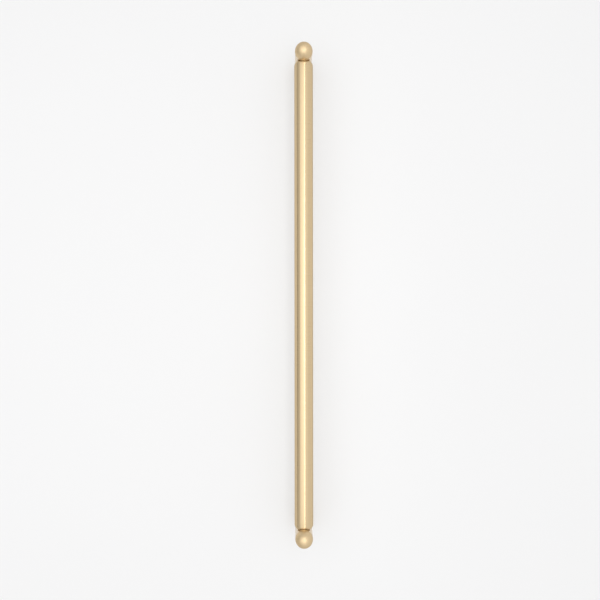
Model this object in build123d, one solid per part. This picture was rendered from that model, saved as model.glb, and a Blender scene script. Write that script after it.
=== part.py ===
from build123d import *
import os
from math import radians, tan

# Cabinet bar pull: a round brass bar between two dome-ended posts, which stand it off the door.
# Millimetres. The door face is z = 0, +Z points away from the door and the bar runs along Y.
# The origin is midway between the two screw holes, on the door face.

# Fixing to the door
hole_centres = 320.0
projection = 40.0
screw_hole_diameter = 3.3
screw_hole_depth = 14.0

# Posts
post_diameter = 11.6
foot_chamfer = 0.4

# Bar
bar_diameter = 12.4
bar_drop = 6.9
bar_end_rounding = 2.7

# Seat of the bar on each post
seat_depth = 1.5
seat_clearance = 0.1

# Studs that join the bar to the posts
stud_diameter = 5.0
stud_in_post = 6.0
stud_in_bar = 10.0
stud_chamfer = 0.5
thread_clearance = 0.05
tap_runout = 1.0

# Drilled holes
hole_mouth_chamfer = 0.4
drill_point_angle = 118.0

# Sizes that follow from the ones above
post_radius = post_diameter / 2
bar_radius = bar_diameter / 2
dome_centre_height = projection - post_radius
bar_height = dome_centre_height - bar_drop
seat_offset = post_radius - seat_depth
bar_length = hole_centres - 2 * seat_offset
stud_hole_diameter = stud_diameter + 2 * thread_clearance

# Which end of the bar: +1 is the upper one and -1 the lower one.
ends = {"upper": 1, "lower": -1}


def joint_plane(end, into):
    """The plane where the bar's end meets its post, with its normal along Y: +1 points up, -1 down."""
    return Plane(origin=(0, end * bar_length / 2, bar_height), z_dir=(0, into, 0))


def blind_hole(diameter, depth):
    """The space of a drilled hole along +Z from its mouth, with a chamfered mouth and a drill point."""
    radius = diameter / 2
    point_depth = radius / tan(radians(drill_point_angle / 2))
    with BuildPart() as hole:
        with BuildSketch(Plane.XZ):
            with BuildLine():
                Polyline(
                    (0, 0),
                    (radius + hole_mouth_chamfer, 0),
                    (radius, hole_mouth_chamfer),
                    (radius, depth),
                    (0, depth + point_depth),
                    close=True,
                )
            make_face()
        revolve(axis=Axis.Z)
    return hole.part


def turned_post():
    """The post as it leaves the lathe: flat chamfered foot, straight shank and domed end."""
    with BuildPart() as turned:
        with BuildSketch(Plane.XZ):
            with BuildLine():
                Polyline(
                    (0, projection),
                    (0, 0),
                    (post_radius - foot_chamfer, 0),
                    (post_radius, foot_chamfer),
                    (post_radius, dome_centre_height),
                )
                CenterArc((0, dome_centre_height), post_radius, 0, 90)
            make_face()
        revolve(axis=Axis.Z)
    return turned.part


def post(end):
    """A finished post: the turned blank with its screw hole, the bar's flat seat and the stud's hole."""
    into_post = joint_plane(end, end)
    seat_cutter = Cylinder(
        bar_radius + seat_clearance,
        post_diameter,
        align=(Align.CENTER, Align.CENTER, Align.MAX),
    )
    blank = Pos(0, end * hole_centres / 2, 0) * (turned_post() - blind_hole(screw_hole_diameter, screw_hole_depth))
    stud_hole = blind_hole(stud_hole_diameter, stud_in_post + tap_runout)
    return blank - into_post.location * seat_cutter - into_post.location * stud_hole


def grip_bar():
    """The bar: plain rod with rounded end edges and a stud hole in each end."""
    rod = Cylinder(bar_radius, bar_length, rotation=(90, 0, 0))
    rounded = fillet(rod.edges().filter_by(GeomType.CIRCLE), bar_end_rounding)
    bar = Pos(0, 0, bar_height) * rounded
    for end in ends.values():
        bar -= joint_plane(end, -end).location * blind_hole(stud_hole_diameter, stud_in_bar + tap_runout)
    return bar


def joining_stud(end):
    """A headless stud with chamfered ends, across the joint of one end."""
    stud_length = stud_in_post + stud_in_bar
    rod = Pos(0, 0, stud_in_post - stud_length / 2) * Cylinder(stud_diameter / 2, stud_length)
    stud = chamfer(rod.edges().filter_by(GeomType.CIRCLE), stud_chamfer)
    return joint_plane(end, end).location * stud


os.makedirs("parts", exist_ok=True)
export_step(grip_bar(), "parts/grip_bar.step")
for name, end in ends.items():
    export_step(post(end), f"parts/{name}_post.step")
studs = [joining_stud(end) for end in ends.values()]
export_step(Compound(studs), "parts/joining_studs.step")
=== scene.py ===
"""A satin brass cabinet bar pull, dressed and lit on the white door that it is fixed to.

The door face is the floor here, and the pull stands on it on its two feet.
The camera looks straight down.
"""

import logging
import math
from dataclasses import dataclass
from enum import Enum

import bpy
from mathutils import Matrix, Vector


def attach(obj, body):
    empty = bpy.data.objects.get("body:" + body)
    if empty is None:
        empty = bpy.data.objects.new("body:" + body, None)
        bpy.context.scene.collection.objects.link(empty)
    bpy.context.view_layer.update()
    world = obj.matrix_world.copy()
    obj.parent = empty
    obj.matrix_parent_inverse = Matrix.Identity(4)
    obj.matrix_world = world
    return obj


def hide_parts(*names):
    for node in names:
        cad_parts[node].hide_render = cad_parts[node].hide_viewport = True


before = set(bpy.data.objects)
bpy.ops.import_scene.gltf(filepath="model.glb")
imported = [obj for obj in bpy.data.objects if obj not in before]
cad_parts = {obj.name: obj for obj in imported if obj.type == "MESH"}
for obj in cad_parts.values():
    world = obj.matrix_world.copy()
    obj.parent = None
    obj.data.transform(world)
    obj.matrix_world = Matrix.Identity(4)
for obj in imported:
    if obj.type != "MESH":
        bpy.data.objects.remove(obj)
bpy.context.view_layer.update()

Piece = bpy.types.Object
Socket = bpy.types.NodeSocket
Colour = tuple[float, float, float]
ProfilePoint = tuple[float, float]

log = logging.getLogger("bar_pull")

MM = 0.001
BODY = "root"
FULL_TURN = 2 * math.pi

# Points closer than this, in metres, are one point.
WELD = 0.0005 * MM

# Edges that turn by more than this stay crisp.
SHARP_ABOVE_DEG = 25.0

# Facets around a tool that cuts another piece.
CUTTER_STEPS = 96

# Most of a noise lies between these two values.
NOISE_MIDDLE = (0.25, 0.75)

# Watts for each square metre of a lamp with a radiance of 1.
LAMP_WATTS = 4.0


class TurningAxis(Enum):
    """The row axis that a turned piece was spun about in the lathe."""

    ALONG_BAR = "Y"
    ALONG_POST = "Z"

    @property
    def direction(self) -> Vector:
        """The axis as a unit vector."""
        return Vector((0, 1, 0)) if self is TurningAxis.ALONG_BAR else Vector((0, 0, 1))


class End(Enum):
    """Which end of the bar a piece belongs to, as its sign along Y."""

    UPPER = 1
    LOWER = -1


class Machining(Enum):
    """What a tool's space does to the piece that it meets."""

    CUT_AWAY = "DIFFERENCE"
    TRIM_TO = "INTERSECT"


class Arithmetic(Enum):
    """How two values of a finish make a third."""

    LARGER = "MAXIMUM"
    PRODUCT = "MULTIPLY"
    POWER = "POWER"


class Slope(Enum):
    """How a ramp climbs from its start to its end."""

    STRAIGHT = "LINEAR"
    EASED = "SMOOTHSTEP"


class NoiseSpace(Enum):
    """Whether a noise lies in a plane or fills the whole space."""

    PLANE = "2D"
    SOLID = "3D"


# Modelling tools


def deselect_all() -> None:
    """Leave edit mode and deselect every object."""
    if bpy.context.object and bpy.context.object.mode != "OBJECT":
        bpy.ops.object.mode_set(mode="OBJECT")
    bpy.ops.object.select_all(action="DESELECT")


def make_active(piece: Piece) -> None:
    """Select one object alone and make it the active one.

    Args:
        piece: The object to work on next.
    """
    deselect_all()
    piece.select_set(True)
    bpy.context.view_layer.objects.active = piece


def close_up() -> None:
    """Weld the doubles of the mesh in edit mode, point its faces outwards and leave edit mode."""
    bpy.ops.mesh.select_all(action="SELECT")
    bpy.ops.mesh.remove_doubles(threshold=WELD)
    bpy.ops.mesh.normals_make_consistent(inside=False)
    bpy.ops.object.mode_set(mode="OBJECT")


def finish_mesh(piece: Piece) -> None:
    """Close a piece's mesh and shade it smooth between crisp edges.

    Args:
        piece: The modelled object.
    """
    make_active(piece)
    bpy.ops.object.mode_set(mode="EDIT")
    close_up()
    bpy.ops.object.shade_smooth_by_angle(angle=math.radians(SHARP_ABOVE_DEG))


def machine(piece: Piece, tool: Piece, how: Machining) -> None:
    """Cut a piece with a tool's space and remove the tool.

    Args:
        piece: The object that is cut.
        tool: The object whose space cuts it.
        how: Whether the tool's space is taken out or is all that stays.
    """
    make_active(piece)
    bpy.ops.object.modifier_add(type="BOOLEAN")
    cutting = piece.modifiers[-1]
    cutting.operation = how.value
    cutting.solver = "EXACT"
    cutting.object = tool
    bpy.ops.object.modifier_apply(modifier=cutting.name)
    bpy.data.objects.remove(tool)


def set_in_place(piece: Piece, turn: tuple[float, float, float], place: Vector) -> None:
    """Turn and move a piece, then keep its turn and place in its mesh.

    Args:
        piece: An object modelled about the origin.
        turn: Its turn about X, Y and Z, in degrees.
        place: Where its origin goes, in millimetres.
    """
    make_active(piece)
    piece.rotation_euler = [math.radians(angle) for angle in turn]
    piece.location = place * MM
    bpy.ops.object.transform_apply(location=True, rotation=True, scale=True)


def start_profile(name: str, points: list[Vector]) -> Piece:
    """Draw a line from point to point, by extruding one vertex, and stay in edit mode.

    Args:
        name: The object's name.
        points: The line's points, in metres.

    Returns:
        The object, at the origin.
    """
    deselect_all()
    bpy.ops.mesh.primitive_plane_add(size=MM, location=points[0])
    piece = bpy.context.object
    piece.name = piece.data.name = name
    bpy.ops.object.transform_apply(location=True, rotation=True, scale=True)
    bpy.ops.object.mode_set(mode="EDIT")
    bpy.ops.mesh.select_all(action="SELECT")
    bpy.ops.mesh.merge(type="CENTER")
    for last, here in zip(points, points[1:]):
        bpy.ops.mesh.extrude_region_move(TRANSFORM_OT_translate={"value": here - last})
    return piece


@dataclass
class Lathe:
    """Draws half a profile point by point and spins it into a turned piece.

    A profile point is (radius, place along the turning axis), in millimetres.
    """

    axis: TurningAxis
    centre: Vector
    steps: int = 160

    def place(self, radius: float, along: float) -> Vector:
        """The point in the row frame, in metres, of a profile point."""
        return (self.centre + Vector((radius, 0, 0)) + self.axis.direction * along) * MM

    def turn(self, name: str, profile: list[ProfilePoint]) -> Piece:
        """Spin a profile into a closed piece whose place is in its mesh.

        Args:
            name: The object's name.
            profile: The half profile, from one point on the axis to another.

        Returns:
            The turned object, at the origin.
        """
        piece = start_profile(name, [self.place(*point) for point in profile])
        bpy.ops.mesh.select_all(action="SELECT")
        bpy.ops.mesh.spin(
            steps=self.steps,
            angle=FULL_TURN,
            center=self.centre * MM,
            axis=self.axis.direction,
        )
        close_up()
        return piece


@dataclass(frozen=True)
class ScrewThread:
    """A right-hand metric thread about Z with flat crests, in millimetres."""

    pitch: float
    crest_radius: float
    root_radius: float
    flank_deg: float = 30.0
    crest_share: float = 0.125
    steps: int = 48
    spare_turns: int = 2

    def tooth(self) -> list[Vector]:
        """The thread's line over one pitch, from root to root.

        Returns:
            The line's points, in metres.
        """
        flank = (self.crest_radius - self.root_radius) * math.tan(math.radians(self.flank_deg))
        crest = self.crest_share * self.pitch
        root = (self.pitch - crest - 2 * flank) / 2
        line = [
            (self.root_radius, 0),
            (self.root_radius, root),
            (self.crest_radius, root + flank),
            (self.crest_radius, root + flank + crest),
            (self.root_radius, self.pitch - root),
            (self.root_radius, self.pitch),
        ]
        return [Vector((radius, 0, along)) * MM for radius, along in line]

    def rod(self, name: str, length: float) -> Piece:
        """Wind the tooth up the Z axis and close it into a threaded rod.

        Args:
            name: The object's name.
            length: The rod's length, from z = 0 up.

        Returns:
            The rod, at the origin.
        """
        rod = start_profile(name, self.tooth())
        bpy.ops.object.mode_set(mode="OBJECT")
        bpy.ops.object.modifier_add(type="SCREW")
        winding = rod.modifiers[-1]
        winding.axis = "Z"
        winding.screw_offset = self.pitch * MM
        winding.iterations = math.ceil(length / self.pitch) + self.spare_turns
        winding.steps = winding.render_steps = self.steps
        bpy.ops.object.modifier_apply(modifier=winding.name)
        set_in_place(rod, (0, 0, 0), Vector((0, 0, -self.pitch)))
        bpy.ops.object.mode_set(mode="EDIT")
        bpy.ops.mesh.select_all(action="SELECT")
        bpy.ops.mesh.remove_doubles(threshold=WELD)
        for height, outward in ((0, -1), (length, 1)):
            bpy.ops.mesh.select_all(action="SELECT")
            bpy.ops.mesh.bisect(
                plane_co=(0, 0, height * MM),
                plane_no=(0, 0, outward),
                use_fill=True,
                clear_outer=True,
                threshold=WELD,
            )
        close_up()
        return rod


def rounded(
    centre: ProfilePoint, radius: float, start_deg: float, end_deg: float, segments: int
) -> list[ProfilePoint]:
    """The profile points of an arc.

    Args:
        centre: The arc's centre as (radius, along).
        radius: The arc's own radius.
        start_deg: Angle of the first point, from the outward radius.
        end_deg: Angle of the last point.
        segments: How many chords the arc has.

    Returns:
        The points from first to last.
    """
    points = []
    for step in range(segments + 1):
        angle = math.radians(start_deg + (end_deg - start_deg) * step / segments)
        points.append((centre[0] + radius * math.cos(angle), centre[1] + radius * math.sin(angle)))
    return points


def straight(start: ProfilePoint, end: ProfilePoint, segments: int) -> list[ProfilePoint]:
    """The profile points of a straight run.

    Args:
        start: Where the run starts, which is left out.
        end: Where it ends, which is included.
        segments: How many equal stretches it has.

    Returns:
        The points after the start.
    """
    return [
        (start[0] + (end[0] - start[0]) * step / segments, start[1] + (end[1] - start[1]) * step / segments)
        for step in range(1, segments + 1)
    ]


# Finishes


class Nodes:
    """Lays out the nodes of a material or a world and links them by socket."""

    def __init__(self, owner: bpy.types.Material | bpy.types.World) -> None:
        """Start with the nodes that the owner has by default."""
        owner.use_nodes = True
        self.tree = owner.node_tree

    @property
    def shader(self) -> bpy.types.Node:
        """A material's Principled shader."""
        return self.tree.nodes["Principled BSDF"]

    def add(self, kind: str, **settings: object) -> bpy.types.Node:
        """Add a node and set its properties.

        Args:
            kind: The node's type name, without its ShaderNode prefix.
            settings: Property names and values.

        Returns:
            The new node.
        """
        node = self.tree.nodes.new("ShaderNode" + kind)
        for key, value in settings.items():
            setattr(node, key, value)
        return node

    def link(self, source: Socket, target: Socket) -> None:
        """Join an output to an input."""
        self.tree.links.new(source, target)

    def combine(self, how: Arithmetic, first: Socket, second: Socket | float) -> Socket:
        """Work out one value from two others.

        Args:
            how: What is done with the two.
            first: The first value.
            second: The second value, or a number that is the same all over.

        Returns:
            The result.
        """
        node = self.add("Math", operation=how.value)
        self.link(first, node.inputs[0])
        if isinstance(second, float):
            node.inputs[1].default_value = second
        else:
            self.link(second, node.inputs[1])
        return node.outputs["Value"]

    def length(self, vector: Socket) -> Socket:
        """Work out a vector's length.

        Args:
            vector: The vector.

        Returns:
            Its length.
        """
        node = self.add("VectorMath", operation="LENGTH")
        self.link(vector, node.inputs[0])
        return node.outputs["Value"]

    def noise(
        self,
        vector: Socket,
        feature_size: float,
        detail: float,
        space: NoiseSpace = NoiseSpace.SOLID,
    ) -> Socket:
        """Add a noise texture on a vector.

        Args:
            vector: Where the texture is read.
            feature_size: Size of its largest features, in millimetres.
            detail: How many finer octaves it has.
            space: Whether it reads two or three of the vector's components.

        Returns:
            The noise's factor.
        """
        texture = self.add("TexNoise", noise_dimensions=space.value)
        texture.inputs["Scale"].default_value = 1 / (feature_size * MM)
        texture.inputs["Detail"].default_value = detail
        self.link(vector, texture.inputs["Vector"])
        return texture.outputs["Fac"]

    def ramp(
        self,
        value: Socket,
        start: float,
        end: float,
        low: float = 0.0,
        high: float = 1.0,
        slope: Slope = Slope.STRAIGHT,
    ) -> Socket:
        """Map a value from one range to another and stop at the ends.

        Args:
            value: The value to map.
            start: Where the ramp starts.
            end: Where it ends.
            low: The result up to the start.
            high: The result from the end on.
            slope: How it climbs between them.

        Returns:
            The mapped value.
        """
        mapping = self.add("MapRange", interpolation_type=slope.value)
        mapping.inputs["From Min"].default_value = start
        mapping.inputs["From Max"].default_value = end
        mapping.inputs["To Min"].default_value = low
        mapping.inputs["To Max"].default_value = high
        self.link(value, mapping.inputs["Value"])
        return mapping.outputs["Result"]

    def spread(self, noise: Socket, low: float, high: float) -> Socket:
        """Map the middle of a noise to the range from low to high."""
        return self.ramp(noise, *NOISE_MIDDLE, low, high)

    def blend(self, factor: Socket, first: Colour, second: Colour) -> Socket:
        """Mix two colours by a factor.

        Args:
            factor: 0 gives the first colour and 1 the second.
            first: The first colour.
            second: The second colour.

        Returns:
            The mixed colour.
        """
        mixing = self.add("Mix", data_type="RGBA")
        colours = [socket for socket in mixing.inputs if socket.type == "RGBA"]
        colours[0].default_value = (*first, 1)
        colours[1].default_value = (*second, 1)
        self.link(factor, mixing.inputs["Factor"])
        return next(socket for socket in mixing.outputs if socket.type == "RGBA")


# What the brass keeps of its reflection at a glancing angle: all of it, or less where the rims are darkened
# with painted shade.
PAINTED_RIM_SHADE: Colour = (0.58, 0.53, 0.45)
BRIGHT_EDGE: Colour = (1.0, 1.0, 1.0)


@dataclass(frozen=True)
class SatinBrass:
    """Brass with the fine rings that a lathe and a last rub with abrasive leave, under a clear lacquer.

    Where it is anisotropic, the quarter turn of its grain stretches the highlights along the turning axis.
    Sizes are in millimetres.
    """

    name: str
    axis: TurningAxis
    centre: tuple[float, float, float]
    roughness: float
    anisotropic: float
    lacquer: float
    edge_tint: Colour
    grain_turn: float = 0.25
    lacquer_roughness: float = 0.25
    roughness_spread: float = 0.12
    light_tone: Colour = (0.765, 0.597, 0.366)
    deep_tone: Colour = (0.735, 0.567, 0.342)
    ring_pitch: float = 0.09
    ring_depth: float = 0.0008
    ring_detail: float = 2.0
    tarnish_size: float = 14.0
    tarnish_detail: float = 3.0

    def material(self) -> bpy.types.Material:
        """Build the node material.

        Returns:
            The finished material.
        """
        material = bpy.data.materials.new(self.name)
        nodes = Nodes(material)
        shader = nodes.shader
        shader.inputs["Metallic"].default_value = 1.0
        shader.inputs["Anisotropic"].default_value = self.anisotropic
        shader.inputs["Anisotropic Rotation"].default_value = self.grain_turn
        shader.inputs["Specular Tint"].default_value = (*self.edge_tint, 1)
        shader.inputs["Coat Weight"].default_value = self.lacquer
        shader.inputs["Coat Roughness"].default_value = self.lacquer_roughness
        tangent = nodes.add("Tangent", direction_type="RADIAL", axis=self.axis.value)
        nodes.link(tangent.outputs["Tangent"], shader.inputs["Tangent"])
        coordinates = nodes.add("TexCoord")
        centring = nodes.add("Mapping", vector_type="TEXTURE")
        centring.inputs["Location"].default_value = Vector(self.centre) * MM
        nodes.link(coordinates.outputs["Object"], centring.inputs["Vector"])
        centred = centring.outputs["Vector"]
        ring_place = self.ring_coordinates(nodes, centred)
        rings = nodes.noise(ring_place, self.ring_pitch, self.ring_detail, NoiseSpace.PLANE)
        tarnish = nodes.noise(centred, self.tarnish_size, self.tarnish_detail)
        nodes.link(nodes.blend(tarnish, self.light_tone, self.deep_tone), shader.inputs["Base Color"])
        smoothest = self.roughness * (1 - self.roughness_spread)
        roughest = self.roughness * (1 + self.roughness_spread)
        nodes.link(nodes.spread(rings, smoothest, roughest), shader.inputs["Roughness"])
        bump = nodes.add("Bump")
        bump.inputs["Strength"].default_value = 1.0
        bump.inputs["Distance"].default_value = self.ring_depth * MM
        nodes.link(rings, bump.inputs["Height"])
        nodes.link(bump.outputs["Normal"], shader.inputs["Normal"])
        return material

    def ring_coordinates(self, nodes: Nodes, centred: Socket) -> Socket:
        """Turn centred coordinates into (radius, along), in which a lathe's rings are straight lines.

        Args:
            nodes: The material's nodes.
            centred: Coordinates about a point on the turning axis.

        Returns:
            The vector (radius, along, 0).
        """
        parts = nodes.add("SeparateXYZ")
        nodes.link(centred, parts.inputs["Vector"])
        across = nodes.add("CombineXYZ")
        other, along = ("Z", "Y") if self.axis is TurningAxis.ALONG_BAR else ("Y", "Z")
        nodes.link(parts.outputs["X"], across.inputs["X"])
        nodes.link(parts.outputs[other], across.inputs["Y"])
        rings = nodes.add("CombineXYZ")
        nodes.link(nodes.length(across.outputs["Vector"]), rings.inputs["X"])
        nodes.link(parts.outputs[along], rings.inputs["Y"])
        return rings.outputs["Vector"]


@dataclass(frozen=True)
class PlatedSteel:
    """Bright zinc plate on small threaded steel. The spangle's size is in millimetres."""

    name: str = "zinc_plated_steel"
    bright: Colour = (0.66, 0.67, 0.68)
    dull: Colour = (0.5, 0.51, 0.53)
    smoothest: float = 0.3
    roughest: float = 0.45
    spangle_size: float = 0.8
    spangle_detail: float = 4.0

    def material(self) -> bpy.types.Material:
        """Build the node material.

        Returns:
            The finished material.
        """
        material = bpy.data.materials.new(self.name)
        nodes = Nodes(material)
        nodes.shader.inputs["Metallic"].default_value = 1.0
        coordinates = nodes.add("TexCoord")
        spangle = nodes.noise(coordinates.outputs["Object"], self.spangle_size, self.spangle_detail)
        nodes.link(nodes.blend(spangle, self.bright, self.dull), nodes.shader.inputs["Base Color"])
        nodes.link(nodes.spread(spangle, self.smoothest, self.roughest), nodes.shader.inputs["Roughness"])
        return material


@dataclass(frozen=True)
class DoorPaint:
    """The white eggshell paint of the door face that the pull is fixed to. Sizes are in millimetres."""

    name: str = "white_door_paint"
    white: Colour = (0.813, 0.813, 0.816)
    shade: Colour = (0.801, 0.801, 0.804)
    roughness: float = 0.3
    cloud_size: float = 120.0
    cloud_detail: float = 2.0
    backdrop: float = 0.916
    veil: float = 0.35
    fade_from: float = 230.0
    fade_to: float = 480.0

    def material(self) -> bpy.types.Material:
        """Build the node material.

        Returns:
            The finished material.
        """
        material = bpy.data.materials.new(self.name)
        nodes = Nodes(material)
        coordinates = nodes.add("TexCoord")
        cloud = nodes.noise(coordinates.outputs["Object"], self.cloud_size, self.cloud_detail)
        nodes.link(nodes.blend(cloud, self.white, self.shade), nodes.shader.inputs["Base Color"])
        nodes.shader.inputs["Roughness"].default_value = self.roughness
        self.fade_out(nodes, coordinates.outputs["Object"])
        return material

    def fade_out(self, nodes: Nodes, place: Socket) -> None:
        """Lift the paint towards the white backdrop, thinly near the pull and fully at the face's edge.

        Args:
            nodes: The material's nodes.
            place: Coordinates about the middle of the face.
        """
        ray = nodes.add("LightPath")
        seen = nodes.combine(Arithmetic.LARGER, ray.outputs["Is Camera Ray"], ray.outputs["Is Glossy Ray"])
        seen_through = nodes.combine(Arithmetic.LARGER, seen, ray.outputs["Is Transmission Ray"])
        veil = nodes.combine(Arithmetic.PRODUCT, seen_through, self.veil)
        distance = nodes.length(place)
        edge = nodes.ramp(distance, self.fade_from * MM, self.fade_to * MM, slope=Slope.EASED)
        edge_seen = nodes.combine(Arithmetic.PRODUCT, edge, ray.outputs["Is Camera Ray"])
        share = nodes.combine(Arithmetic.LARGER, veil, edge_seen)
        glow = nodes.add("Emission")
        glow.inputs["Color"].default_value = (self.backdrop, self.backdrop, self.backdrop, 1)
        mixing = nodes.add("MixShader")
        nodes.link(share, mixing.inputs["Fac"])
        nodes.link(nodes.shader.outputs["BSDF"], mixing.inputs[1])
        nodes.link(glow.outputs["Emission"], mixing.inputs[2])
        nodes.link(mixing.outputs["Shader"], nodes.tree.nodes["Material Output"].inputs["Surface"])


def dress(piece: Piece, material: bpy.types.Material) -> None:
    """Give a piece its finish and its body.

    Args:
        piece: The finished object.
        material: Its material.
    """
    piece.data.materials.clear()
    piece.data.materials.append(material)
    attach(piece, BODY)


# The pull


@dataclass
class PullSizes:
    """The sizes that the pull's pieces share, in millimetres."""

    hole_centres: float = 320.0
    projection: float = 40.0
    post_radius: float = 5.8
    bar_radius: float = 6.2
    bar_drop: float = 6.9
    seat_depth: float = 1.5
    seat_clearance: float = 0.1
    stud_hole_radius: float = 2.55
    mouth_chamfer: float = 0.4
    drill_point_deg: float = 118.0

    @property
    def dome_centre(self) -> float:
        """Height of the domes' centres above the door."""
        return self.projection - self.post_radius

    @property
    def bar_height(self) -> float:
        """Height of the bar's axis above the door."""
        return self.dome_centre - self.bar_drop

    @property
    def half_bar(self) -> float:
        """Half the bar's length."""
        return self.hole_centres / 2 - self.post_radius + self.seat_depth

    def point_depth(self, radius: float) -> float:
        """Depth of the cone that a drill leaves at the bottom of a hole."""
        return radius / math.tan(math.radians(self.drill_point_deg / 2))


@dataclass
class GripBar:
    """The round bar that the hand holds, with a stud hole in each end."""

    sizes: PullSizes
    stud_hole_depth: float = 11.0
    end_rounding: float = 2.7
    end_segments: int = 10
    rings_along: int = 48

    def build(self) -> Piece:
        """Turn the bar from its profile.

        Returns:
            The bar.
        """
        lower_half = self.half_profile()
        upper_half = [(radius, -along) for radius, along in reversed(lower_half)]
        middle = straight(lower_half[-1], upper_half[0], self.rings_along)
        lathe = Lathe(TurningAxis.ALONG_BAR, Vector((0, 0, self.sizes.bar_height)))
        bar = lathe.turn("grip_bar_turned", lower_half + middle + upper_half[1:])
        finish_mesh(bar)
        return bar

    def half_profile(self) -> list[ProfilePoint]:
        """The lower end's profile.

        Returns:
            The points from the bottom of the stud hole to the bar's side.
        """
        sizes = self.sizes
        face = -sizes.half_bar
        bottom = face + self.stud_hole_depth
        corner = (sizes.bar_radius - self.end_rounding, face + self.end_rounding)
        return [
            (0, bottom + sizes.point_depth(sizes.stud_hole_radius)),
            (sizes.stud_hole_radius, bottom),
            (sizes.stud_hole_radius, face + sizes.mouth_chamfer),
            (sizes.stud_hole_radius + sizes.mouth_chamfer, face),
            *rounded(corner, self.end_rounding, -90, 0, self.end_segments),
        ]

    def dress(self, bar: Piece) -> None:
        """Give the bar its turned satin brass.

        Args:
            bar: The bar.
        """
        finish = SatinBrass(
            "satin_brass_bar",
            TurningAxis.ALONG_BAR,
            (0, 0, self.sizes.bar_height),
            roughness=0.3,
            anisotropic=0.92,
            lacquer=0.1,
            # The dull edge tint darkens the bar's edges as painted shade.
            edge_tint=PAINTED_RIM_SHADE,
        )
        dress(bar, finish.material())
        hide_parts("grip_bar")


@dataclass
class Post:
    """A dome-ended post with a flat seat for the bar and a screw hole in its foot."""

    sizes: PullSizes
    end: End
    screw_hole_radius: float = 1.65
    screw_hole_depth: float = 14.0
    screw_thread: ScrewThread = ScrewThread(pitch=0.7, crest_radius=2.0, root_radius=1.6)
    tapped_depth: float = 12.0
    foot_chamfer: float = 0.4
    stud_hole_depth: float = 7.0
    dome_segments: int = 36
    rings_along: int = 17

    @property
    def axis_place(self) -> float:
        """Where the post's axis stands along the bar."""
        return self.end.value * self.sizes.hole_centres / 2

    def build(self) -> Piece:
        """Turn the post, mill its seat with the stud's hole, and tap the screw hole.

        Returns:
            The post.
        """
        sizes = self.sizes
        shank_foot = (sizes.post_radius, self.foot_chamfer)
        shank_top = (sizes.post_radius, sizes.dome_centre)
        profile = [
            (0, self.screw_hole_depth + sizes.point_depth(self.screw_hole_radius)),
            (self.screw_hole_radius, self.screw_hole_depth),
            (self.screw_hole_radius, sizes.mouth_chamfer),
            (self.screw_hole_radius + sizes.mouth_chamfer, 0),
            (sizes.post_radius - self.foot_chamfer, 0),
            shank_foot,
            *straight(shank_foot, shank_top, self.rings_along),
            *rounded((0, sizes.dome_centre), sizes.post_radius, 0, 90, self.dome_segments)[1:],
        ]
        lathe = Lathe(TurningAxis.ALONG_POST, Vector((0, self.axis_place, 0)))
        post = lathe.turn(f"{self.end.name.lower()}_post_turned", profile)
        machine(post, self.seat_cutter(), Machining.CUT_AWAY)
        machine(post, self.tap(), Machining.CUT_AWAY)
        finish_mesh(post)
        return post

    def seat_cutter(self) -> Piece:
        """Turn a cutter of the space of the bar's seat and of the stud hole behind it.

        Returns:
            The cutter, where it cuts.
        """
        sizes = self.sizes
        outward = self.end.value
        face = outward * sizes.half_bar
        start = face - outward * sizes.post_radius
        seat = sizes.bar_radius + sizes.seat_clearance
        hole = sizes.stud_hole_radius
        profile = [
            (0, start),
            (seat, start),
            (seat, face),
            (hole + sizes.mouth_chamfer, face),
            (hole, face + outward * sizes.mouth_chamfer),
            (hole, face + outward * self.stud_hole_depth),
            (0, face + outward * (self.stud_hole_depth + sizes.point_depth(hole))),
        ]
        lathe = Lathe(TurningAxis.ALONG_BAR, Vector((0, 0, sizes.bar_height)), CUTTER_STEPS)
        return lathe.turn("seat_cutter", profile)

    def tap(self) -> Piece:
        """Make the tap that cuts the screw's thread into the foot, from one pitch below its mouth.

        Returns:
            The tap, where it cuts.
        """
        entry = self.screw_thread.pitch
        tap = self.screw_thread.rod("tap", entry + self.tapped_depth)
        set_in_place(tap, (0, 0, 0), Vector((0, self.axis_place, -entry)))
        return tap

    def dress(self, post: Piece) -> None:
        """Give the dome and the shank their turned satin brass, the dome's with painted shade on its rim.

        Args:
            post: The post.
        """
        # The dull edge tint darkens the dome's rim as painted shade; the shank keeps its full reflection.
        dome = self.finish("dome", lacquer=0.3, edge_tint=PAINTED_RIM_SHADE)
        shank = self.finish("shank", lacquer=1.0, edge_tint=BRIGHT_EDGE)
        dress(post, dome.material())
        post.data.materials.append(shank.material())
        shank_index = len(post.data.materials) - 1
        for face in post.data.polygons:
            if face.center.z < self.sizes.dome_centre * MM:
                face.material_index = shank_index
        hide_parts(f"{self.end.name.lower()}_post")

    def finish(self, stretch: str, lacquer: float, edge_tint: Colour) -> SatinBrass:
        """The brass of one stretch of the post, whose lacquer lies thicker down the shank, and whose dome
        has painted shade on its rim.

        Args:
            stretch: The stretch's name.
            lacquer: How much of the clear coat it has.
            edge_tint: What the metal keeps of its reflection at a glancing angle, which the dull tint lowers
                as painted shade on the rim.

        Returns:
            The finish.
        """
        return SatinBrass(
            f"satin_brass_{self.end.name.lower()}_{stretch}",
            TurningAxis.ALONG_POST,
            (0, self.axis_place, self.sizes.dome_centre),
            roughness=0.48,
            anisotropic=0.0,
            lacquer=lacquer,
            edge_tint=edge_tint,
        )


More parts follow.
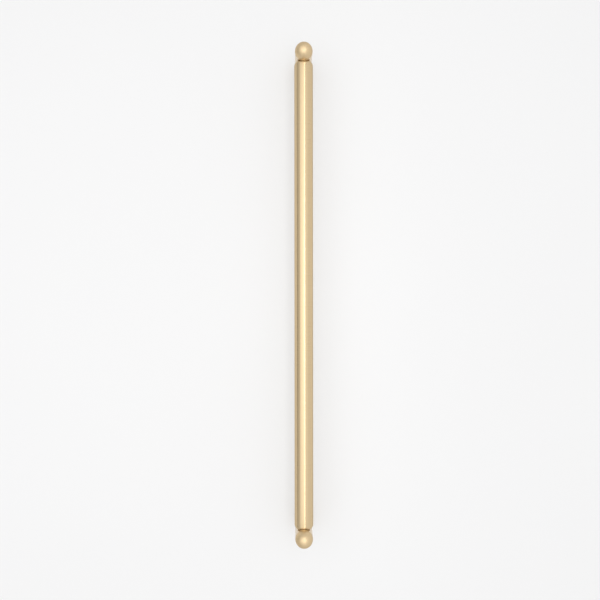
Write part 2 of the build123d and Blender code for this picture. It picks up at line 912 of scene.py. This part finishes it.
@dataclass
class JoiningStuds:
    """The hidden threaded studs that hold the bar to the posts."""

    sizes: PullSizes
    thread: ScrewThread = ScrewThread(pitch=0.8, crest_radius=2.5, root_radius=2.03)
    in_post: float = 6.0
    in_bar: float = 10.0
    chamfer: float = 0.5
    trim_clearance: float = 0.01

    @property
    def length(self) -> float:
        """A stud's length."""
        return self.in_post + self.in_bar

    def build(self) -> Piece:
        """Thread one stud, chamfer its ends, set it in the upper joint and a copy of it in the lower one.

        Returns:
            Both studs as one object.
        """
        sizes = self.sizes
        along_bar = (-90, 0, 0)
        other_end = (0, 0, 180)
        upper = self.thread.rod("joining_studs_threaded", self.length + self.thread.pitch)
        machine(upper, self.chamfered_blank(), Machining.TRIM_TO)
        set_in_place(upper, along_bar, Vector((0, sizes.half_bar - self.in_bar, sizes.bar_height)))
        lower = upper.copy()
        lower.data = upper.data.copy()
        bpy.context.scene.collection.objects.link(lower)
        set_in_place(lower, other_end, Vector((0, 0, 0)))
        make_active(upper)
        lower.select_set(True)
        bpy.ops.object.join()
        finish_mesh(upper)
        return upper

    def chamfered_blank(self) -> Piece:
        """Turn the plain rod with chamfered ends that a threaded one is trimmed to.

        Returns:
            The blank, along Z from the origin.
        """
        radius = self.thread.crest_radius + self.trim_clearance
        profile = [
            (0, 0),
            (radius - self.chamfer, 0),
            (radius, self.chamfer),
            (radius, self.length - self.chamfer),
            (radius - self.chamfer, self.length),
            (0, self.length),
        ]
        return Lathe(TurningAxis.ALONG_POST, Vector((0, 0, 0)), CUTTER_STEPS).turn("stud_blank", profile)

    def dress(self, studs: Piece) -> None:
        """Give the studs their zinc plate."""
        dress(studs, PlatedSteel().material())
        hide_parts("joining_studs")


# The studio


@dataclass(frozen=True)
class SoftBox:
    """A rectangular lamp that faces straight down, in millimetres."""

    name: str
    x_from: float
    x_to: float
    half_length: float
    height: float
    radiance: float

    def hang(self) -> None:
        """Put the lamp in the scene."""
        width = (self.x_to - self.x_from) * MM
        length = 2 * self.half_length * MM
        lamp = bpy.data.lights.new(self.name, "AREA")
        lamp.shape = "RECTANGLE"
        lamp.size = width
        lamp.size_y = length
        lamp.energy = self.radiance * LAMP_WATTS * width * length
        holder = bpy.data.objects.new(self.name, lamp)
        holder.location = ((self.x_from + self.x_to) / 2 * MM, 0, self.height * MM)
        bpy.context.scene.collection.objects.link(holder)


@dataclass
class Studio:
    """The white door face, the soft light and the camera.

    The room is as bright as bright_wall towards light_from, and as dim as dim_wall on the side turned away.
    Lengths are in millimetres, apart from those in pixels of the square picture.
    """

    paint: DoorPaint = DoorPaint()
    floor_size: float = 1000.0
    lamps: tuple[SoftBox, ...] = (
        SoftBox("ceiling_bounce", x_from=-980, x_to=1040, half_length=560, height=993, radiance=0.15),
        SoftBox("overhead_softbox", x_from=-980, x_to=265, half_length=650, height=973, radiance=0.37),
        SoftBox("low_fill", x_from=-162, x_to=165, half_length=150, height=620, radiance=0.4),
        SoftBox("key_strip", x_from=105, x_to=230, half_length=700, height=933, radiance=1.27),
    )
    light_from: tuple[float, float, float] = (0.55, 0.0, 1.0)
    full_light_at: float = 0.8
    dim_wall: float = 0.07
    bright_wall: float = 0.88
    falloff: float = 0.3
    focal_px: float = 540.0
    image_px: float = 600.0
    off_centre_px: tuple[float, float] = (6.7, -2.5)
    sensor_width: float = 36.0
    near_clip: float = 10.0
    camera_place: tuple[float, float, float] = (-7.0, -1.5, 388.5)
    camera_roll_deg: float = -0.045

    def build(self) -> None:
        """Lay the floor, light it and set up the camera."""
        self.floor()
        self.room_light()
        for lamp in self.lamps:
            lamp.hang()
        self.camera()
        bpy.context.scene.view_settings.view_transform = "Standard"

    def floor(self) -> None:
        """Lay the door face under the feet."""
        deselect_all()
        bpy.ops.mesh.primitive_plane_add(size=self.floor_size * MM)
        floor = bpy.context.object
        floor.name = "door_face"
        floor.data.materials.append(self.paint.material())

    def room_light(self) -> None:
        """Fill the room with soft light from above and from the right, which leaves it dim low on the left.

        The camera sees the pale backdrop instead of the room.
        """
        world = bpy.data.worlds.new("pale_room")
        bpy.context.scene.world = world
        nodes = Nodes(world)
        coordinates = nodes.add("TexCoord")
        facing = nodes.add("VectorMath", operation="DOT_PRODUCT")
        facing.inputs[1].default_value = self.light_from
        nodes.link(coordinates.outputs["Generated"], facing.inputs[0])
        turned_to_light = nodes.ramp(facing.outputs["Value"], -self.light_from[0], self.full_light_at)
        curve = nodes.combine(Arithmetic.POWER, turned_to_light, self.falloff)
        level = nodes.ramp(curve, 0.0, 1.0, self.dim_wall, self.bright_wall)
        ray = nodes.add("LightPath")
        shown = nodes.add("Mix")
        shown.inputs["B"].default_value = self.paint.backdrop
        nodes.link(ray.outputs["Is Camera Ray"], shown.inputs["Factor"])
        nodes.link(level, shown.inputs["A"])
        nodes.link(shown.outputs["Result"], nodes.tree.nodes["Background"].inputs["Color"])

    def camera(self) -> None:
        """Put the camera over the pull, looking straight down, as the photograph was taken."""
        lens = bpy.data.cameras.new("photo_camera")
        lens.sensor_width = self.sensor_width
        lens.lens = self.sensor_width * self.focal_px / self.image_px
        lens.shift_x = self.off_centre_px[0] / self.image_px
        lens.shift_y = self.off_centre_px[1] / self.image_px
        lens.clip_start = self.near_clip * MM
        holder = bpy.data.objects.new("photo_camera", lens)
        holder.location = Vector(self.camera_place) * MM
        holder.rotation_euler = (0, 0, math.radians(self.camera_roll_deg))
        bpy.context.scene.collection.objects.link(holder)
        bpy.context.scene.camera = holder


def main() -> None:
    """Build the pull and its studio."""
    logging.basicConfig(level=logging.INFO, format="%(name)s: %(message)s")
    sizes = PullSizes()
    bar = GripBar(sizes)
    turned_bar = bar.build()
    bar.dress(turned_bar)
    log.info("bar: %d faces", len(turned_bar.data.polygons))
    for end in End:
        post = Post(sizes, end)
        turned_post = post.build()
        post.dress(turned_post)
        log.info("%s post: %d faces", end.name.lower(), len(turned_post.data.polygons))
    studs = JoiningStuds(sizes)
    threaded_studs = studs.build()
    studs.dress(threaded_studs)
    log.info("joining studs: %d faces", len(threaded_studs.data.polygons))
    Studio().build()
    deselect_all()


if __name__ == "__main__":
    main()
